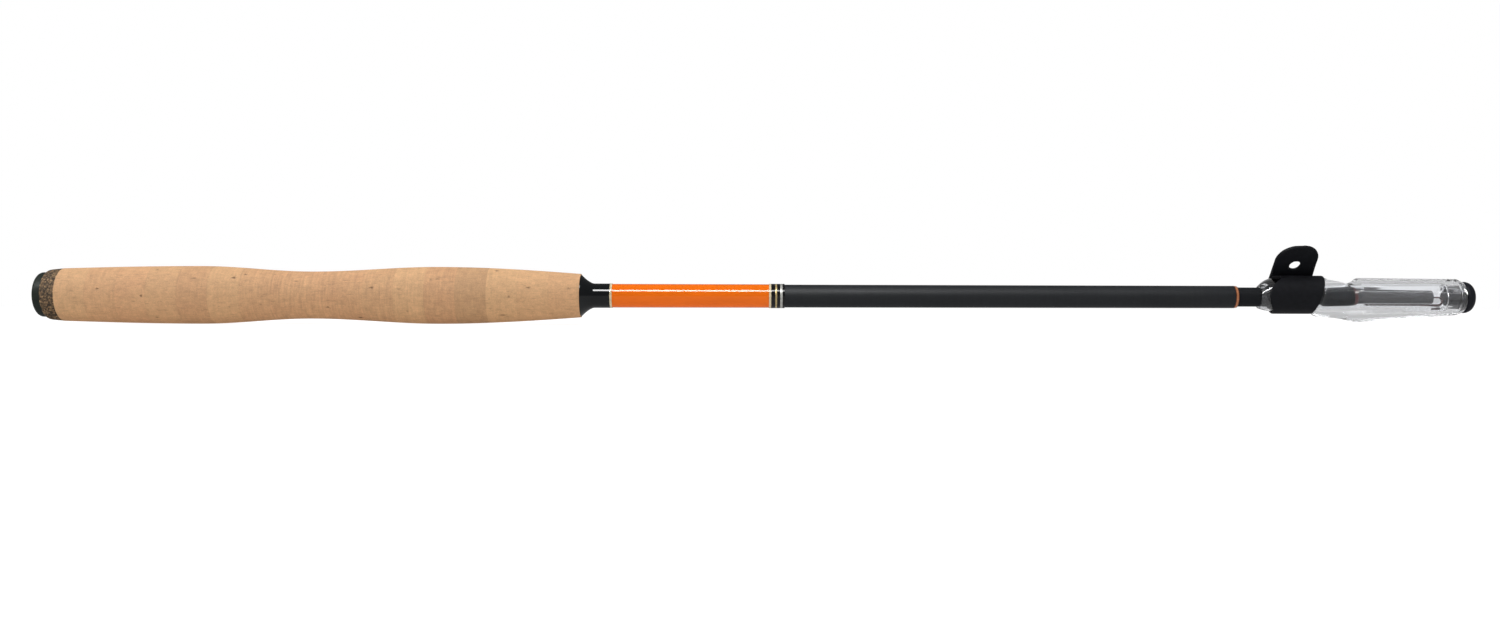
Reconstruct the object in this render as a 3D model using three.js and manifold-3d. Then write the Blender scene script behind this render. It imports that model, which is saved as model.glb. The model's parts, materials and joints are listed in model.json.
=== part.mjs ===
// A telescopic fixed-line fly rod, collapsed, with its clear tip cap pushed on.
// Millimetres. The rod lies along +X from its butt to its tip, and +Z is up.
// The origin is the centre of the sunk face of the screw cap at the butt.
// The grip is glued up from cork rings on the butt section. Six finer sections nest in the
// butt section, and each one wedges in the mouth of the section round it when drawn out.

import * as THREE from 'three';
import { mergeVertices } from 'three/addons/utils/BufferGeometryUtils.js';
import Module from 'manifold-3d';

const wasm = await Module();
wasm.setup();

// Facets. Turned pieces share one count, so nested facets lie parallel.
const turnedSides = 28;
const capSides = 36;
const cordSides = 8;

// Clearances
const glueGap = 0.1;
const sleeveGap = 0.03;
const seatGap = 0.3;
const threadGap = 0.15;
const shoulderGap = 0.15;
const cutOverrun = 1;

// Butt cap, its seal and its pad
const buttCapRadius = 9.3;
const buttCapEdgeRound = 1.5;
const buttCapLength = 3.8;
const buttDishRadius = 5.4;
const buttDishDepth = 0.8;
const coinNotchWidth = 2;
const threadRadius = 6;
const threadLength = 6.2;
const cupWall = 1.2;
const cupFloor = 2.2;
const padThickness = 2;
const sealThickness = 0.9;

// Thread insert
const insertWall = 1.35;
const insertCollarLength = 6;

// Grip
const burlLength = 6.2;
const burlRearRadius = 10.4;
const corkRingLength = 12.7;
const corkRingCount = 17;
const gripRearRadius = 11;
const gripPalmRadius = 12.05;
const gripWaistRadius = 9.85;
const gripThumbRadius = 11.88;
const gripFrontRadius = 9.1;
const gripPalmShare = 0.266;
const gripWaistShare = 0.48;
const gripThumbShare = 0.723;

// Winding check and the trim in front of it
const checkRearRadius = 8.9;
const checkFlareLength = 5.5;
const checkLength = 12.2;
const checkWall = 0.24;
const flarePowerShare = 1.55;
const trimWall = 0.3;
const creamLineWidth = 0.9;
const lacquerLength = 65.4;
const lacquerWall = 0.08;
const wrapCreamWidth = 0.9;
const wrapWideWidth = 1.7;
const wrapGoldWidth = 0.75;
const wrapMiddleWidth = 1.3;
const wrapSilverWidth = 0.95;
const wrapNarrowWidth = 0.9;
const ringedSections = 2;
const tipRingWidth = 1.5;
const tipRingRoundShare = 0.8;

// Rod sections. All share one taper, so each wedges over a long bearing when drawn out.
const taperShare = 0.00065;
const wedgeGap = 0.025;
const buttSectionRear = 10.2;
const buttSectionLength = 489;
const buttMouthRadius = 4.65;
const buttWall = 0.33;
const section2Wall = 0.33;
const section3Wall = 0.3;
const section4Wall = 0.27;
const section5Wall = 0.25;
const section6Wall = 0.22;
const section2Stand = 49.8;
const section3Stand = 31.2;
const nestStep = 0.25;
const section2Travel = 440;
const sectionTravel = 475;
const tipEndRadius = 0.5;

// Lillian, the braided cord on the tip
const lillianRadius = 0.45;
const lillianKnotRadius = 0.6;
const lillianKnotLength = 1.8;
const lillianSleeveLength = 2.2;
const lillianSleeveWall = 0.25;

// Clear cap. Heights are centre offsets above the rod's axis, with a radius each.
const capTailLength = 40.6;
const capMouthRadius = 5.15;
const capMouthBore = 4.75;
const capShoulderLength = 4.6;
const capSeatLength = 19.9;
const capSeatRadius = 6.9;
const capSeatOffset = 1;
const capStepLean = 2.5;
const capStepRadius = 7.72;
const capWaistRadius = 7.6;
const capWaistOffset = -2.1;
const capWaistSetback = 1.9;
const capStepOffset = 0.3;
const capStepRise = 0.6;
const capStepLand = 1.2;
const capFlangeRadius = 9.3;
const capFlangeOffset = -1.2;
const capNoseRadius = 7.55;
const capNoseOffset = 0.15;
const capLipRadius = 6.4;
const capLipLength = 2.1;
const capBore = 5.1;
const hexFlatShare = 0.91;
const capMouthBoreShare = 0.4;
const capTailShare = 0.78;
const capTailOffsetShare = 0.6;
const capLipRoundShare = 0.55;
// The shoulder's dome: how far along it, with shares of the seat's centre offset and radius
const capDomeShares = [
  [0.18, 0.25, 0.8],
  [0.5, 0.75, 0.91],
];

// End plug
const foldRoom = 5.8;
const plugSpigotRadius = 3.9;
const plugSpigotLength = 3.7;
const plugFlangeRadius = 5.9;
const plugFlangeLength = 2.5;
const plugGrooveRadius = 4.6;
const plugHeadRadius = 6.55;
const plugHeadLength = 4.6;
const plugHeadRearShare = 0.96;
const plugRimShare = 0.15;
const plugDomePowerShare = 0.6;

// Rubber strap with its pull tab
const strapWall = 1;
const strapWidth = 18.5;
const strapLobe = 3.3;
const strapNotch = 3.4;
const strapEdgeRound = 0.35;
const strapFrontLean = 2.3;
const strapNotchTurn = THREE.MathUtils.degToRad(20);
const lobePowerShare = 2;
const notchPowerShare = 6;
const tabWidth = 18;
const tabLength = 20;
const tabThickness = 1.4;
const tabCorner = 7.6;
const tabHoleRadius = 2.3;
const tabHoleFromTip = 10.4;
const tabLeave = THREE.MathUtils.degToRad(47.5);

// Stations along the rod
const rimX = -buttDishDepth;
const shoulderX = rimX + buttCapLength;
const burlX = shoulderX + shoulderGap;
const corkX = burlX + burlLength;
const corkLength = corkRingLength * corkRingCount;
const checkX = corkX + corkLength;
const creamX = checkX + checkLength;
const lacquerX = creamX + creamLineWidth;
const wrapsX = lacquerX + lacquerLength;
const insertRadius = threadRadius + threadGap + insertWall;
const insertX = shoulderX + seatGap + sealThickness;
const insertEndX = buttSectionRear + insertCollarLength;
const sectionRearX = cupFloor + padThickness + seatGap;
const buttMouthX = buttSectionRear + buttSectionLength;
const section2MouthX = buttMouthX + section2Stand;
const section3MouthX = section2MouthX + section3Stand;
const capRearX = section2MouthX - capTailLength;
const capSeatX = capRearX + capShoulderLength;
const capStepX = capSeatX + capSeatLength;
const spigotX = section3MouthX + foldRoom;
const plugFlangeX = spigotX + plugSpigotLength;
const capNoseX = plugFlangeX + plugFlangeLength - capLipLength * 0.5;
const capFrontX = capNoseX + capLipLength;

// Finishes
function finish(color, roughness, metalness = 0) {
  return new THREE.MeshStandardMaterial({ color, roughness, metalness });
}

const blackPaint = () => finish(0x1a1c1e, 0.35);
const blackRubber = () => finish(0x2b2c30, 0.75);
const carbon = () => finish(0x26282b, 0.5);
const cork = () => finish(0xc89f73, 0.85);
const burlCork = () => finish(0x665a4b, 0.85);
const glossBlack = () => finish(0x08080a, 0.12);
const orangeLacquer = () => finish(0xe0640f, 0.15);
const creamTrim = () => finish(0xe6d3a8, 0.3);
const goldTrim = () => finish(0xc79a4a, 0.3, 0.7);
const silverTrim = () => finish(0xb9bcc0, 0.3, 0.8);
const copperPaint = () => finish(0xb5663c, 0.4, 0.3);
const maroonPaint = () => finish(0x3a0f14, 0.4);
const alloy = () => finish(0x9a9ea3, 0.4, 0.9);
const redBraid = () => finish(0x6b1420, 0.9);

function clearPlastic() {
  const material = finish(0xe8ecef, 0.08);
  material.transparent = true;
  material.opacity = 0.35;
  return material;
}

const rod = new THREE.Group();

function place(name, geometry, material) {
  const mesh = new THREE.Mesh(geometry, material);
  mesh.name = name;
  rod.add(mesh);
}

// Turning: pairs of station and radius, revolved about X. A pair of flats faces down.
function turned(profile, sides = turnedSides) {
  const points = profile.map(([x, r]) => new THREE.Vector2(r, x));
  const geometry = new THREE.LatheGeometry(points, sides, Math.PI / sides);
  geometry.rotateZ(-Math.PI / 2);
  return geometry;
}

// A turned ring: the bore's points, then the outside's, closed on its first point.
function turnedRing(bore, outside, sides) {
  const loop = [...outside, ...bore.slice().reverse()];
  return turned([...loop, loop[0]], sides);
}

// Joins closed loops of equal count into one closed skin, the last loop back to the first.
function skin(loops) {
  const count = loops[0].length;
  const positions = [];
  const index = [];
  loops.forEach((loop) => loop.forEach((point) => positions.push(point.x, point.y, point.z)));
  for (let i = 0; i < loops.length; i += 1) {
    const here = i * count;
    const next = ((i + 1) % loops.length) * count;
    for (let j = 0; j < count; j += 1) {
      const k = (j + 1) % count;
      index.push(here + j, next + k, next + j);
      index.push(here + j, here + k, next + k);
    }
  }
  const geometry = new THREE.BufferGeometry();
  geometry.setAttribute('position', new THREE.Float32BufferAttribute(positions, 3));
  geometry.setIndex(index);
  return geometry;
}

// Booleans
function toSolid(geometry) {
  const bare = geometry.clone();
  bare.deleteAttribute('normal');
  bare.deleteAttribute('uv');
  const merged = mergeVertices(bare, 1e-4);
  return new wasm.Manifold(new wasm.Mesh({
    numProp: 3,
    vertProperties: new Float32Array(merged.attributes.position.array),
    triVerts: new Uint32Array(merged.index.array),
  }));
}

function toGeometry(solid) {
  const mesh = solid.getMesh();
  const geometry = new THREE.BufferGeometry();
  geometry.setAttribute('position', new THREE.Float32BufferAttribute(mesh.vertProperties, 3));
  geometry.setIndex(new THREE.Uint32BufferAttribute(mesh.triVerts, 1));
  return geometry;
}

// Rod sections, worked out from the butt inwards. When section k is drawn out by its travel,
// its outside at the mouth of the section round it is that section's bore less the wedge gap.
function sectionChain() {
  const walls = [buttWall, section2Wall, section3Wall, section4Wall, section5Wall, section6Wall];
  const chain = [{ rear: buttSectionRear, mouth: buttMouthX, radius: buttMouthRadius }];
  let mouth = section2MouthX;
  walls.forEach((wall, outer) => {
    const around = chain[outer];
    const travel = outer === 0 ? section2Travel : sectionTravel;
    const length = mouth - sectionRearX;
    const overlap = around.mouth - sectionRearX - travel;
    const radius = around.radius - wall - wedgeGap - taperShare * (length - overlap);
    chain.push({ rear: sectionRearX, mouth, radius, overlap });
    mouth = outer === 0 ? section3MouthX : mouth + nestStep;
  });
  chain.forEach((section, i) => {
    section.wall = walls[i];
    section.ring = i < ringedSections ? tipRingWidth : 0;
  });
  return chain;
}

function outsideAt(section, x) {
  return section.radius + taperShare * (section.mouth - x);
}

function tube(section) {
  const outside = [section.rear, section.mouth - section.ring].map((x) => [x, outsideAt(section, x)]);
  const bore = outside.map(([x, r]) => [x, r - section.wall]);
  return turnedRing(bore, outside);
}

// The tip is solid. Only its bearing keeps the shared taper, and the rest tapers to the end.
function solidTip(section) {
  const bearingEndX = section.rear + section.overlap;
  return turned([
    [section.rear, 0],
    [section.rear, outsideAt(section, section.rear)],
    [bearingEndX, outsideAt(section, bearingEndX)],
    [section.mouth, tipEndRadius],
    [section.mouth, 0],
  ]);
}

const chain = sectionChain();
const [butt, section2] = chain;
const tip = chain[chain.length - 1];

function buttOutside(x) {
  return outsideAt(butt, x);
}

// Butt end
function buttCap() {
  const steps = 4;
  const edge = Array.from({ length: steps + 1 }, (_, i) => {
    const angle = (i / steps) * (Math.PI / 2);
    return [
      rimX + buttCapEdgeRound * (1 - Math.sin(angle)),
      buttCapRadius - buttCapEdgeRound * (1 - Math.cos(angle)),
    ];
  }).reverse();
  const cupRadius = threadRadius - cupWall;
  const body = toSolid(turned([
    [0, 0],
    [0, buttDishRadius],
    [rimX, buttDishRadius + buttDishDepth * 0.5],
    ...edge,
    [shoulderX, buttCapRadius],
    [shoulderX, threadRadius],
    [shoulderX + threadLength, threadRadius],
    [shoulderX + threadLength, cupRadius],
    [cupFloor, cupRadius],
    [cupFloor, 0],
  ]));
  const reach = 2 * (buttCapRadius + cutOverrun);
  const notch = new THREE.BoxGeometry(buttDishDepth + cutOverrun, coinNotchWidth, reach);
  notch.translate(-(buttDishDepth + cutOverrun) * 0.5 - sleeveGap, 0, 0);
  return toGeometry(body.subtract(toSolid(notch)));
}

function seal() {
  const tubeRadius = sealThickness * 0.5;
  const ringRadius = threadRadius + threadGap + tubeRadius;
  const centreX = shoulderX + seatGap * 0.5 + tubeRadius;
  const steps = 8;
  const loop = Array.from({ length: steps + 1 }, (_, i) => {
    const angle = (i / steps) * 2 * Math.PI;
    return [centreX - tubeRadius * Math.cos(angle), ringRadius + tubeRadius * Math.sin(angle)];
  });
  return turned(loop);
}

function shockPad() {
  const radius = threadRadius - cupWall - threadGap;
  return turned([
    [cupFloor, 0],
    [cupFloor, radius],
    [cupFloor + padThickness, radius],
    [cupFloor + padThickness, 0],
  ]);
}

function threadInsert() {
  const bore = threadRadius + threadGap;
  const collarX = buttSectionRear - seatGap * 0.5;
  return turnedRing(
    [
      [insertX, bore],
      [collarX, bore],
      [collarX, buttOutside(buttSectionRear) + glueGap],
      [insertEndX, buttOutside(insertEndX) + glueGap],
    ],
    [[insertX, insertRadius], [insertEndX, insertRadius]],
  );
}

// Grip outline: a quarter wave up to the palm swell, half waves down to the waist and up to
// the thumb swell, and a quarter wave down to the front.
function gripRadius(x) {
  const share = (x - corkX) / corkLength;
  const between = (a, b) => (share - a) / (b - a);
  if (share < gripPalmShare) {
    const rise = Math.sin(between(0, gripPalmShare) * Math.PI * 0.5);
    return gripRearRadius + (gripPalmRadius - gripRearRadius) * rise;
  }
  if (share < gripWaistShare) {
    const fall = (1 - Math.cos(between(gripPalmShare, gripWaistShare) * Math.PI)) * 0.5;
    return gripPalmRadius + (gripWaistRadius - gripPalmRadius) * fall;
  }
  if (share < gripThumbShare) {
    const rise = (1 - Math.cos(between(gripWaistShare, gripThumbShare) * Math.PI)) * 0.5;
    return gripWaistRadius + (gripThumbRadius - gripWaistRadius) * rise;
  }
  const fall = Math.cos(between(gripThumbShare, 1) * Math.PI * 0.5);
  return gripFrontRadius + (gripThumbRadius - gripFrontRadius) * fall;
}

// A ring's bore clears the insert where it reaches over it, and then fits the blank.
function ringBore(startX, endX) {
  const fit = (x) => [x, buttOutside(x) + glueGap];
  const overInsert = insertRadius + glueGap;
  const stepX = insertEndX + glueGap;
  if (endX <= stepX) return [[startX, overInsert], [endX, overInsert]];
  if (startX >= stepX) return [fit(startX), fit(endX)];
  return [[startX, overInsert], [stepX, overInsert], fit(stepX), fit(endX)];
}

function burlRing() {
  const outside = [[burlX, burlRearRadius], [corkX, gripRearRadius]];
  return turnedRing(ringBore(burlX, corkX), outside);
}

function corkRing(number) {
  const startX = corkX + corkRingLength * number;
  const endX = startX + corkRingLength;
  const steps = 3;
  const outside = Array.from({ length: steps + 1 }, (_, i) => {
    const x = startX + (corkRingLength * i) / steps;
    return [x, gripRadius(x)];
  });
  return turnedRing(ringBore(startX, endX), outside);
}

// Trim on the butt section
function fittedSleeve(startX, endX, wall) {
  const bore = [startX, endX].map((x) => [x, buttOutside(x) + sleeveGap]);
  const outside = bore.map(([x, r]) => [x, r + wall]);
  return turnedRing(bore, outside);
}

function windingCheck() {
  const bore = [checkX, creamX].map((x) => [x, buttOutside(x) + sleeveGap]);
  const flareEndX = checkX + checkFlareLength;
  const throat = buttOutside(flareEndX) + sleeveGap + checkWall;
  const steps = 6;
  const flare = Array.from({ length: steps + 1 }, (_, i) => {
    const share = i / steps;
    const swell = (1 - share) ** flarePowerShare;
    return [checkX + checkFlareLength * share, throat + (checkRearRadius - throat) * swell];
  });
  const end = [creamX, buttOutside(creamX) + sleeveGap + checkWall];
  return turnedRing(bore, [...flare, end]);
}

function trimWraps() {
  const wraps = [
    ['wrap_cream', wrapCreamWidth, creamTrim],
    ['wrap_black_wide', wrapWideWidth, glossBlack],
    ['wrap_gold', wrapGoldWidth, goldTrim],
    ['wrap_black_middle', wrapMiddleWidth, glossBlack],
    ['wrap_silver', wrapSilverWidth, silverTrim],
    ['wrap_black_narrow', wrapNarrowWidth, glossBlack],
  ];
  let x = wrapsX;
  wraps.forEach(([name, width, material]) => {
    place(name, fittedSleeve(x, x + width, trimWall), material());
    x += width;
  });
}

// A ring glued to the end of a tube, with the tube's bore, and rounded off from its outside.
function mouthRing(section) {
  const startX = section.mouth - section.ring + sleeveGap;
  const bore = [startX, section.mouth].map((x) => [x, outsideAt(section, x) - section.wall]);
  const steps = 4;
  const outside = Array.from({ length: steps + 1 }, (_, i) => {
    const angle = (i / steps) * Math.PI * 0.5;
    const x = startX + (section.mouth - startX) * Math.sin(angle);
    const drop = section.wall * tipRingRoundShare * (1 - Math.cos(angle));
    return [x, outsideAt(section, x) - drop];
  });
  return turnedRing(bore, outside);
}

// Tip cord
function lillianSleeve() {
  const startX = tip.mouth - lillianSleeveLength;
  const outside = tipEndRadius + sleeveGap + lillianSleeveWall;
  const spread = taperAt(startX) - tipEndRadius;
  return turnedRing(
    [[startX, tipEndRadius + spread + sleeveGap], [tip.mouth, tipEndRadius + sleeveGap]],
    [[startX, outside + spread], [tip.mouth, outside]],
  );
}

function taperAt(x) {
  const bearingEndX = tip.rear + tip.overlap;
  const share = (tip.mouth - x) / (tip.mouth - bearingEndX);
  return tipEndRadius + (outsideAt(tip, bearingEndX) - tipEndRadius) * share;
}

// Route of the lillian: out of the tip, one round fold, and back under section 3.
function lillianRoute() {
  const route = [
    [581.5, 0, 0],
    [582.1, 0, 0],
    [582.7, 0, 0],
    [583.27, 0, 0],
    [584.03, 0.01, -0.15],
    [584.67, 0.02, -0.58],
    [585.1, 0.04, -1.22],
    [585.25, 0.06, -1.98],
    [585.1, 0.08, -2.74],
    [584.67, 0.1, -3.38],
    [584.03, 0.12, -3.81],
    [583.27, 0.14, -3.96],
    [582.3, 0.16, -3.98],
    [580.5, 0.2, -3.98],
    [577, 0.25, -3.98],
    [573, 0.27, -4],
    [569, 0.22, -4.02],
    [565, 0.12, -4.03],
    [561, 0, -4.03],
    [558, -0.08, -4.02],
    [556, -0.1, -4.01],
    [554.5, -0.1, -4],
  ];
  return new THREE.CatmullRomCurve3(route.map((point) => new THREE.Vector3(...point)));
}

function lillian() {
  const section = new THREE.Shape();
  section.absarc(0, 0, lillianRadius, 0, 2 * Math.PI);
  const steps = 44;
  return new THREE.ExtrudeGeometry(section, {
    extrudePath: lillianRoute(), steps, curveSegments: cordSides / 2, bevelEnabled: false,
  });
}

function lillianKnot() {
  const end = lillianRoute().getPoint(1);
  const steps = 8;
  const loop = Array.from({ length: steps + 1 }, (_, i) => {
    const angle = (i / steps) * Math.PI;
    return [-lillianKnotLength * 0.5 * Math.cos(angle), lillianKnotRadius * Math.sin(angle)];
  });
  const geometry = turned(loop, cordSides);
  geometry.translate(end.x - seatGap - lillianKnotLength * 0.5, end.y, end.z);
  return geometry;
}

// Clear cap. A station is a loop round the rod: round, six-sided or between the two, with its
// own centre height, and leant so that its top stands forward of its bottom.
function capLoop({ x, offset = 0, radius, hex = 0, lean = 0 }) {
  return Array.from({ length: capSides }, (_, i) => {
    const angle = (i / capSides) * 2 * Math.PI;
    const facet = Math.PI / 3;
    const across = (((angle % facet) + facet) % facet) - facet * 0.5;
    const flat = (radius * hexFlatShare) / Math.cos(across);
    const reach = radius + (Math.min(radius, flat) - radius) * hex;
    return new THREE.Vector3(
      x + lean * Math.cos(angle),
      -reach * Math.sin(angle),
      offset + reach * Math.cos(angle),
    );
  });
}

function clearCap() {
  const flangeX = section2MouthX + capWaistSetback;
  const waistX = section2MouthX - capWaistSetback;
  const tailX = capStepX + (waistX - capStepX) * capTailShare;
  const bulgeX = capStepX + capStepRise;
  const dome = capDomeShares.map(([along, offset, radius]) => ({
    x: capRearX + capShoulderLength * along,
    offset: capSeatOffset * offset,
    radius: capSeatRadius * radius,
  }));
  const outside = [
    { x: capRearX, radius: capMouthRadius },
    ...dome,
    { x: capSeatX, offset: capSeatOffset, radius: capSeatRadius },
    { x: capStepX, offset: capSeatOffset, radius: capSeatRadius, lean: capStepLean },
    { x: bulgeX, offset: capStepOffset, radius: capStepRadius, lean: capStepLean },
    {
      x: bulgeX + capStepLand, offset: -capStepOffset, radius: capStepRadius, lean: capStepLean,
    },
    { x: tailX, offset: capWaistOffset * capTailOffsetShare, radius: capStepRadius },
    { x: waistX, offset: capWaistOffset, radius: capWaistRadius },
    { x: flangeX, offset: capFlangeOffset, radius: capFlangeRadius, hex: 1 },
    { x: capNoseX, offset: capNoseOffset, radius: capNoseRadius, hex: 1 },
    {
      x: capNoseX + capLipLength * capLipRoundShare,
      offset: capNoseOffset * 0.5,
      radius: (capNoseRadius + capLipRadius) * 0.5,
      hex: 0.5,
    },
    { x: capFrontX, radius: capLipRadius },
  ];
  const lipBore = plugGrooveRadius + glueGap;
  const undercut = plugFlangeRadius + glueGap;
  const spigotBore = plugSpigotRadius + glueGap;
  const bore = [
    { x: capFrontX, radius: lipBore },
    { x: plugFlangeX + plugFlangeLength + glueGap, radius: lipBore },
    { x: plugFlangeX + plugFlangeLength + glueGap, radius: undercut },
    { x: plugFlangeX - glueGap, radius: undercut },
    { x: plugFlangeX - glueGap, radius: spigotBore },
    { x: spigotX - seatGap, radius: spigotBore },
    { x: spigotX - seatGap, radius: capBore },
    { x: capSeatX, radius: capBore },
    { x: capRearX + capShoulderLength * capMouthBoreShare, radius: capMouthBore },
    { x: capRearX, radius: capMouthBore },
  ];
  return skin([...outside, ...bore].map(capLoop));
}

function capEndPlug() {
  const neckX = plugFlangeX + plugFlangeLength;
  const headX = capFrontX + glueGap;
  const domeX = headX + plugHeadLength * plugRimShare;
  const domeLength = plugHeadLength * (1 - plugRimShare);
  const steps = 6;
  const dome = Array.from({ length: steps }, (_, i) => {
    const angle = (i / steps) * (Math.PI / 2);
    return [
      domeX + domeLength * Math.sin(angle),
      plugHeadRadius * Math.cos(angle) ** plugDomePowerShare,
    ];
  });
  return turned([
    [spigotX, 0],
    [spigotX, plugSpigotRadius],
    [plugFlangeX, plugSpigotRadius],
    [plugFlangeX, plugFlangeRadius],
    [neckX, plugFlangeRadius],
    [neckX, plugGrooveRadius],
    [headX, plugGrooveRadius],
    [headX, plugHeadRadius * plugHeadRearShare],
    ...dome,
    [headX + plugHeadLength, 0],
  ], capSides);
}

// Strap: a band on the clear cap's seat. Its tab leaves the back of the band along a tangent
// and comes up and forward over the top.
function strapBand() {
  const inner = capSeatRadius + glueGap;
  const outer = inner + strapWall;
  const frontX = capStepX - seatGap;
  const rearX = frontX - strapWidth;
  const loops = Array.from({ length: capSides }, (_, i) => {
    const angle = (i / capSides) * 2 * Math.PI;
    const lobe = strapLobe * Math.max(0, Math.sin(angle)) ** lobePowerShare;
    const notch = strapNotch * Math.max(0, Math.cos(angle - strapNotchTurn)) ** notchPowerShare;
    const rear = rearX - lobe + notch;
    const front = frontX + strapFrontLean * Math.cos(angle);
    const profile = [
      [front, inner],
      [front, outer - strapEdgeRound],
      [front - strapEdgeRound, outer],
      [rear + strapEdgeRound, outer],
      [rear, outer - strapEdgeRound],
      [rear, inner],
    ];
    return profile.map(([x, r]) => new THREE.Vector3(
      x, -r * Math.sin(angle), capSeatOffset + r * Math.cos(angle),
    ));
  });
  return skin(loops);
}

function strapTab() {
  const half = tabWidth * 0.5;
  const outline = new THREE.Shape();
  outline.moveTo(-half, 0);
  outline.lineTo(half, 0);
  outline.lineTo(half, tabLength - tabCorner);
  outline.absarc(half - tabCorner, tabLength - tabCorner, tabCorner, 0, Math.PI * 0.5, false);
  outline.absarc(tabCorner - half, tabLength - tabCorner, tabCorner, Math.PI * 0.5, Math.PI, false);
  outline.closePath();
  const hole = new THREE.Path();
  hole.absarc(0, tabLength - tabHoleFromTip, tabHoleRadius, 0, 2 * Math.PI, true);
  outline.holes.push(hole);
  const plate = new THREE.ExtrudeGeometry(outline, {
    depth: tabThickness, curveSegments: 16, bevelEnabled: false,
  });
  plate.translate(0, 0, -tabThickness * 0.5);
  plate.rotateX(Math.PI - tabLeave);
  const middle = capSeatRadius + glueGap + tabThickness * 0.5;
  return { plate, middle };
}

function strap() {
  const band = toSolid(strapBand());
  const { plate, middle } = strapTab();
  const centreX = capStepX - seatGap - strapWidth * 0.5;
  plate.translate(
    centreX,
    middle * Math.sin(tabLeave),
    capSeatOffset + middle * Math.cos(tabLeave),
  );
  return toGeometry(band.add(toSolid(plate)));
}

place('butt_cap', buttCap(), blackPaint());
place('butt_cap_seal', seal(), blackRubber());
place('shock_pad', shockPad(), blackRubber());
place('thread_insert', threadInsert(), alloy());
place('burl_ring', burlRing(), burlCork());
for (let i = 0; i < corkRingCount; i += 1) {
  place(`cork_ring_${String(i + 1).padStart(2, '0')}`, corkRing(i), cork());
}
place('winding_check', windingCheck(), glossBlack());
place('check_line', fittedSleeve(creamX, lacquerX, trimWall), creamTrim());
place('lacquer_band', fittedSleeve(lacquerX, wrapsX, lacquerWall), orangeLacquer());
trimWraps();
place('butt_section', tube(butt), carbon());
place('butt_mouth_ring', mouthRing(butt), copperPaint());
chain.slice(1, -1).forEach((section, i) => {
  place(`section_${i + 2}`, tube(section), carbon());
});
place('section_2_mouth_ring', mouthRing(section2), maroonPaint());
place('tip_section', solidTip(tip), carbon());
place('lillian_sleeve', lillianSleeve(), blackPaint());
place('lillian', lillian(), redBraid());
place('lillian_knot', lillianKnot(), redBraid());
place('clear_cap', clearCap(), clearPlastic());
place('cap_strap', strap(), blackRubber());
place('cap_end_plug', capEndPlug(), blackRubber());

export default rod;
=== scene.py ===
"""A collapsed telescopic fly rod: cork grip, carbon sections one inside another, clear tip cap.

Metres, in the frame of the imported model: +X from butt to tip, +Z up, -Y towards the viewer.
"""

import json
import math

import bpy
import numpy as np
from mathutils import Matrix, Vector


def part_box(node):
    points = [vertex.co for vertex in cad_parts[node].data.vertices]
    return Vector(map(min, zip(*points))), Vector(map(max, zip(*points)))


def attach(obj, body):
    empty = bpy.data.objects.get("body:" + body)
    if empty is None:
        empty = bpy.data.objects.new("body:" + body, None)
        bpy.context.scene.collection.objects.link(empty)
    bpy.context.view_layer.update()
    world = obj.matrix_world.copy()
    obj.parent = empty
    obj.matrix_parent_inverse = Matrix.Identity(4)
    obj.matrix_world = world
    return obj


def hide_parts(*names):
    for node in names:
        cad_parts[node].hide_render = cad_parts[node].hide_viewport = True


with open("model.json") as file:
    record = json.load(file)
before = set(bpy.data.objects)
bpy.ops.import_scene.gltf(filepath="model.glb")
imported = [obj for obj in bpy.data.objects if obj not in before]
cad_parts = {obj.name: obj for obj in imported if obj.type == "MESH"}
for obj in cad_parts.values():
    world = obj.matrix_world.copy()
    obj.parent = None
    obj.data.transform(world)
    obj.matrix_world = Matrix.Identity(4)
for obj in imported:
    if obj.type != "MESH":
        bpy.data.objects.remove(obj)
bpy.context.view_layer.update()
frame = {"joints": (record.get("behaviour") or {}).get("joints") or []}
mm = 0.001

# Camera: a 35 mm lens, level with the rod, 0.61 m in front of it and pitched down a little,
# so that the rod lies above the middle of the picture.
lens = 35
sensor_width = 36
camera_station = 295.85 * mm
camera_distance = 610.2 * mm
camera_pitch = math.radians(0.825)
camera_roll = math.radians(0.122)


def placed(name, data):
    """A new object of the scene, at the origin."""
    made = bpy.data.objects.new(name, data)
    bpy.context.scene.collection.objects.link(made)
    return made


camera_data = bpy.data.cameras.new("camera")
camera_data.lens = lens
camera_data.sensor_width = sensor_width
camera_data.clip_start = 10 * mm
camera = placed("camera", camera_data)
camera.location = (camera_station, -camera_distance, 0)
camera.rotation_euler = (math.pi / 2 - camera_pitch, 0, 0)
camera.rotation_euler.rotate_axis("Z", camera_roll)
bpy.context.scene.camera = camera


# Butt section: the tube that carries the grip. Carbon cloth rolled on a steel mandrel and cured,
# then painted satin charcoal. Its mouth is the widest that shows past the trim.
def stations(name):
    """Where a node starts and ends along the rod."""
    low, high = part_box(name)
    return low.x, high.x


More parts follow.
